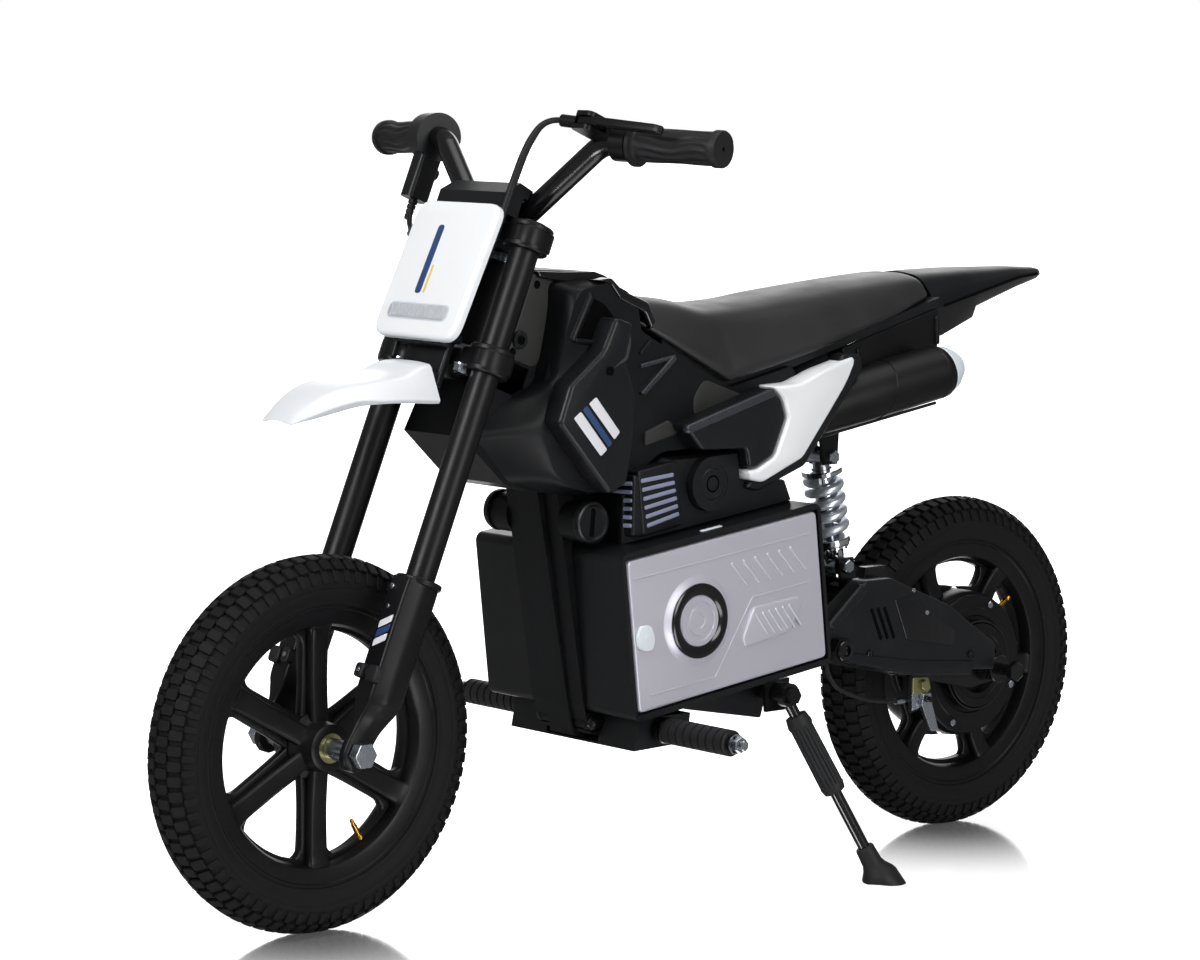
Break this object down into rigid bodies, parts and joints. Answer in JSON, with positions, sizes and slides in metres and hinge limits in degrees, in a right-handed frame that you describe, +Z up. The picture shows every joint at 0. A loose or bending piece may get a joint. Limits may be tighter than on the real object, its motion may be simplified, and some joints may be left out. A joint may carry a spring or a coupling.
{
  "type": "kids electric motorbike",
  "caption": "Small electric off-road motorbike with telescopic fork, swing arm and coil shock, hub motor rear wheel, battery box with a hinged door, padded seat and side stand.",
  "frame": {"origin": "on the ground at mid-wheelbase, in the bike's mid-plane", "axes": "+X forward, +Y to the rider's left, +Z up"},
  "size_m": [1.216, 0.504, 0.7683],
  "materials": {
    "tyre_rubber": "matte",
    "black_plastic": "fine grain",
    "gloss_black": "gloss",
    "white_plastic": "gloss",
    "silver_plastic": "satin",
    "black_metal": "satin",
    "black_alloy": "painted satin",
    "zinc": "plated",
    "seat_vinyl": "matte grain",
    "rubber": "matte",
    "clear_lens": "clear",
    "battery_blue": "wrapped"
  },
  "bodies": {
    "chassis": {"main_frame": "black_metal", "head_bearings": "zinc", "body_shell_left": "black_plastic", "body_shell_right": "black_plastic", "shrouds": "gloss_black", "side_covers": "gloss_black", "side_panels": "white_plastic", "engine_covers": "black_plastic", "battery_box": "black_plastic", "battery_pack": "battery_blue", "controller": "black_alloy", "right_panel": "silver_plastic", "seat_cushion": "seat_vinyl", "seat_base": "black_plastic", "tail_cover": "gloss_black", "silencers": "black_plastic", "footpegs": "black_metal", "peg_sleeves": "rubber"},
    "steering": {"steering_stem": "zinc", "lower_clamp": "black_alloy", "upper_clamp": "black_alloy", "fork_tubes": "black_metal", "handlebar": "black_metal", "left_grip": "rubber", "throttle_housing": "black_plastic", "brake_perch": "black_alloy", "number_plate": "white_plastic", "headlight_lens": "clear_lens", "plate_bracket": "black_plastic", "dash_cover": "black_plastic", "front_fender": "white_plastic", "brake_cable": "rubber", "throttle_lead": "rubber"},
    "fork_lower": {"fork_legs": "black_alloy", "front_axle": "zinc"},
    "front_wheel": {"front_tyre": "tyre_rubber", "front_rim": "black_alloy", "front_bearings": "zinc"},
    "swing": {"swing_arm": "black_metal", "swing_covers": "black_plastic", "rear_axle": "zinc", "motor_stator": "zinc", "brake_band": "zinc", "lower_cable": "rubber"},
    "rear_wheel": {"rear_tyre": "tyre_rubber", "rear_rim": "black_alloy", "motor_covers": "black_alloy", "rear_bearings": "zinc"},
    "shock_upper": {"shock_body": "zinc"},
    "shock_lower": {"shock_rod": "zinc", "shock_spring": "zinc"},
    "lever": {"brake_lever": "black_alloy"},
    "band_arm": {"brake_arm": "zinc"},
    "throttle": {"throttle_grip": "rubber"},
    "stand": {"kickstand_leg": "black_metal", "stand_rubbers": "rubber"},
    "door": {"battery_door": "silver_plastic"},
    "latch": {"door_latch": "silver_plastic"},
    "power_key": {"power_button": "gloss_black"},
    "mode_key": {"mode_button": "gloss_black"}
  },
  "joints": [
    {"name": "steering", "type": "hinge", "parent": "chassis", "child": "steering", "pos_m": [0.22423, 0, 0.58006], "axis": [-0.3778, 0, 0.9259], "range_deg": [-30, 30]},
    {"name": "fork_slide", "type": "slide", "parent": "steering", "child": "fork_lower", "axis": [-0.3778, 0, 0.9259], "range_m": [0, 0.03], "stiffness_N_per_m": 6000, "springref_m": -0.03},
    {"name": "front_wheel_spin", "type": "hinge", "parent": "fork_lower", "child": "front_wheel", "pos_m": [0.43, 0, 0.178], "axis": [0, 1, 0], "continuous": true},
    {"name": "swing_pivot", "type": "hinge", "parent": "chassis", "child": "swing", "pos_m": [-0.1735, 0, 0.223], "axis": [0, 1, 0], "range_deg": [0, 8], "stiffness_Nm_per_rad": 400, "springref_deg": -8.02},
    {"name": "rear_wheel_spin", "type": "hinge", "parent": "swing", "child": "rear_wheel", "pos_m": [-0.43, 0, 0.178], "axis": [0, 1, 0], "continuous": true},
    {"name": "shock_swing", "type": "hinge", "parent": "chassis", "child": "shock_upper", "pos_m": [-0.23, 0, 0.411], "axis": [0, 1, 0], "range_deg": [-4.4, 0]},
    {"name": "shock_slide", "type": "slide", "parent": "shock_upper", "child": "shock_lower", "axis": [0.2107, 0, 0.9776], "range_m": [0, 0.0126], "deforming": ["shock_spring"]},
    {"name": "brake_lever_pull", "type": "hinge", "parent": "steering", "child": "lever", "pos_m": [0.20793, 0.124, 0.75658], "axis": [-0.3778, 0, 0.9259], "range_deg": [0, 10], "stiffness_Nm_per_rad": 0.5},
    {"name": "brake_arm_turn", "type": "hinge", "parent": "swing", "child": "band_arm", "pos_m": [-0.322, 0.072, 0.156], "axis": [0, 1, 0], "range_deg": [-12, 0]},
    {"name": "throttle_twist", "type": "hinge", "parent": "steering", "child": "throttle", "pos_m": [0.18094, -0.118, 0.73801], "axis": [-0.2354, -0.9716, -0.0253], "range_deg": [0, 65], "stiffness_Nm_per_rad": 0.05},
    {"name": "stand_fold", "type": "hinge", "parent": "chassis", "child": "stand", "pos_m": [-0.075, 0.112, 0.19], "axis": [0, 1, 0], "range_deg": [0, 75]},
    {"name": "door_hinge", "type": "hinge", "parent": "chassis", "child": "door", "pos_m": [-0.12657, 0.1085, 0.29621], "axis": [0.1271, 0, 0.9919], "range_deg": [0, 100]},
    {"name": "latch_turn", "type": "hinge", "parent": "door", "child": "latch", "pos_m": [0.1117, 0.11, 0.26267], "axis": [0, 1, 0], "range_deg": [0, 90]},
    {"name": "power_press", "type": "slide", "parent": "steering", "child": "power_key", "axis": [0.3778, 0, -0.9259], "range_m": [0, 0.002], "stiffness_N_per_m": 400},
    {"name": "mode_press", "type": "slide", "parent": "steering", "child": "mode_key", "axis": [0.9259, 0, 0.3778], "range_m": [0, 0.002], "stiffness_N_per_m": 400}
  ],
  "couplings": [
    {"joint": "shock_swing", "follows": "swing_pivot", "ratio": -0.54},
    {"joint": "shock_slide", "follows": "swing_pivot", "m_per_rad": 0.0897},
    {"joint": "brake_arm_turn", "follows": "brake_lever_pull", "ratio": -1.2}
  ]
}
